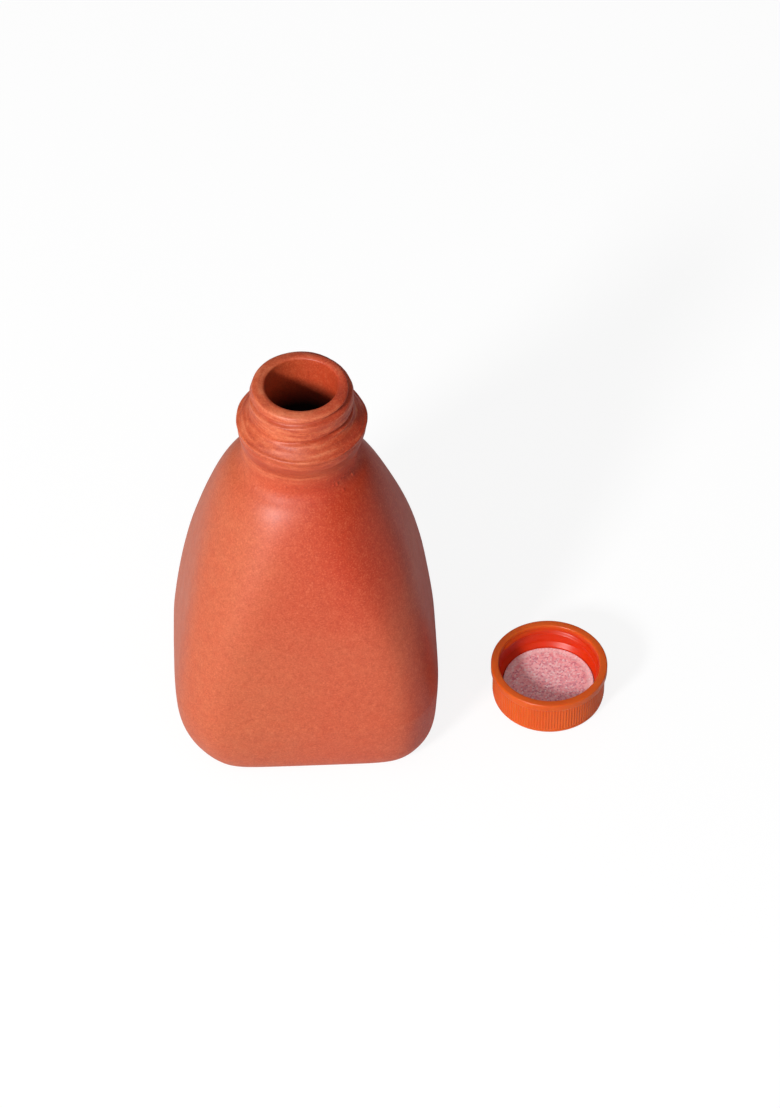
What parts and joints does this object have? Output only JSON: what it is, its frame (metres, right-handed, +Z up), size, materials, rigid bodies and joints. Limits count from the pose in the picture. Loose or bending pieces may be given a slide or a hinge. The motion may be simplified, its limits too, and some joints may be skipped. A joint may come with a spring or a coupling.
{
  "type": "clay water bottle",
  "caption": "Unglazed terracotta water bottle with a rounded-square body, collared screw neck and a knurled plastic screw cap, shown off, with a foam liner.",
  "frame": {"origin": "middle of the flat underside that the bottle stands on", "axes": "+Z up along the bottle's axis, +X to the right towards the cap that lies beside it, -Y towards the front panel that the picture shows"},
  "size_m": [0.1917, 0.1076, 0.1895],
  "materials": {
    "clay": "unglazed fired red clay, burnished smooth, fine speckle",
    "cap_plastic": "satin moulded orange polypropylene",
    "liner_foam": "dry speckled pink foam"
  },
  "bodies": {
    "bottle": {"clay_bottle": "clay"},
    "liner": {"cap_liner": "liner_foam"},
    "cap": {"screw_cap": "cap_plastic"}
  },
  "joints": [
    {"name": "cap_carry", "type": "hinge", "parent": "bottle", "child": "liner", "pos_m": [0.05393, -0.0035, 0.1053], "axis": [-0.0648, -0.9979, 0], "range_deg": [0, 180]},
    {"name": "cap_turn", "type": "hinge", "parent": "liner", "child": "cap", "pos_m": [0.10785, -0.007, 0], "axis": [0, 0, 1], "range_deg": [0, 420]}
  ]
}
